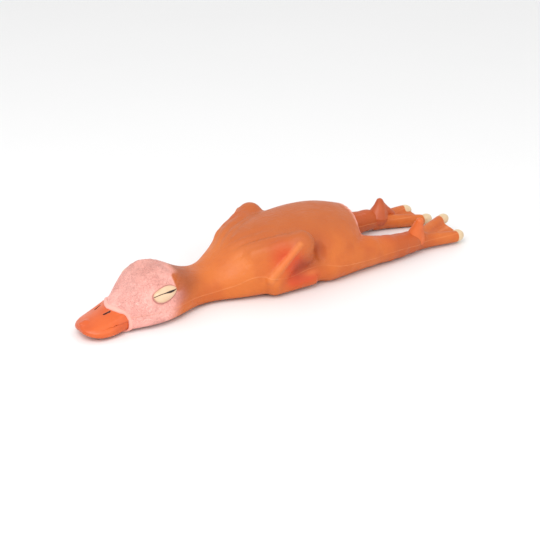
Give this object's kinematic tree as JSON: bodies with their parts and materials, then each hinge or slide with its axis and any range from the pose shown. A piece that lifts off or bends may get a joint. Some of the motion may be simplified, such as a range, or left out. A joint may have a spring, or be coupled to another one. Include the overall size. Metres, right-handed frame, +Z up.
{
  "type": "rubber chicken",
  "caption": "Limp hollow rubber bird prop lying on its belly, with a flat duck-like bill, closed eyes, folded wings and webbed feet stretched back.",
  "frame": {"origin": "on the surface that the bird lies on, under the middle of its length and width", "axes": "+Z up from the belly to the back, +X from the bill towards the claws, so the bill points to -X and the bird's left side is -Y"},
  "size_m": [0.4638, 0.116, 0.0689],
  "materials": {
    "orange_latex": "satin",
    "pink_latex": "satin",
    "bill_latex": "satin",
    "foot_latex": "satin",
    "cream_latex": "satin",
    "dark_paint": "satin",
    "wadding": "matte",
    "squeaker_plastic": "gloss",
    "reed_plastic": "matte",
    "reed_brass": "satin"
  },
  "bodies": {
    "torso": {"torso_skin": "orange_latex", "left_wing": "orange_latex", "right_wing": "orange_latex", "torso_wadding": "wadding", "squeaker_cup": "squeaker_plastic", "squeaker_cap": "squeaker_plastic", "reed_holder": "reed_plastic"},
    "reed": {"squeaker_reed": "reed_brass"},
    "neck": {"neck_skin": "orange_latex", "neck_wadding": "wadding"},
    "head": {"head_skin": "pink_latex", "head_wadding": "wadding", "upper_bill": "bill_latex", "lower_bill": "bill_latex", "bill_rim": "pink_latex", "left_eyelid": "cream_latex", "right_eyelid": "cream_latex", "left_eye": "dark_paint", "right_eye": "dark_paint"},
    "left_thigh": {"left_thigh": "orange_latex"},
    "right_thigh": {"right_thigh": "orange_latex"},
    "left_shank": {"left_shank": "orange_latex"},
    "right_shank": {"right_shank": "orange_latex"},
    "left_foot": {"left_foot": "foot_latex", "left_hind_toe": "foot_latex", "left_claws": "cream_latex"},
    "right_foot": {"right_foot": "foot_latex", "right_hind_toe": "foot_latex", "right_claws": "cream_latex"}
  },
  "joints": [
    {"name": "neck_lift", "type": "hinge", "parent": "torso", "child": "neck", "pos_m": [-0.08, 0, 0.0185], "axis": [0, 1, 0], "range_deg": [-30, 30], "stiffness_Nm_per_rad": 0.5},
    {"name": "head_turn", "type": "hinge", "parent": "neck", "child": "head", "pos_m": [-0.108, 0, 0.0185], "axis": [0, 0, 1], "range_deg": [-30, 30], "stiffness_Nm_per_rad": 0.2},
    {"name": "left_leg_spread", "type": "hinge", "parent": "torso", "child": "left_thigh", "pos_m": [0.122, -0.038, 0.0135], "axis": [0, 0, -1], "range_deg": [-4, 18], "stiffness_Nm_per_rad": 0.15},
    {"name": "right_leg_spread", "type": "hinge", "parent": "torso", "child": "right_thigh", "pos_m": [0.122, 0.038, 0.0135], "axis": [0, 0, 1], "range_deg": [-4, 18], "stiffness_Nm_per_rad": 0.15},
    {"name": "left_leg_lift", "type": "hinge", "parent": "left_thigh", "child": "left_shank", "pos_m": [0.138, -0.038, 0.0135], "axis": [0, -1, 0], "range_deg": [-28, 28], "stiffness_Nm_per_rad": 0.15},
    {"name": "right_leg_lift", "type": "hinge", "parent": "right_thigh", "child": "right_shank", "pos_m": [0.138, 0.038, 0.0135], "axis": [0, -1, 0], "range_deg": [-28, 28], "stiffness_Nm_per_rad": 0.15},
    {"name": "left_foot_flap", "type": "hinge", "parent": "left_shank", "child": "left_foot", "pos_m": [0.155, -0.038, 0.0135], "axis": [0, -1, 0], "range_deg": [-26, 26], "stiffness_Nm_per_rad": 0.1},
    {"name": "right_foot_flap", "type": "hinge", "parent": "right_shank", "child": "right_foot", "pos_m": [0.155, 0.038, 0.0135], "axis": [0, -1, 0], "range_deg": [-26, 26], "stiffness_Nm_per_rad": 0.1},
    {"name": "reed_flex", "type": "hinge", "parent": "torso", "child": "reed", "pos_m": [0.014, 0, 0.0087], "axis": [0, -1, 0], "range_deg": [0, 3], "stiffness_Nm_per_rad": 0.002}
  ]
}
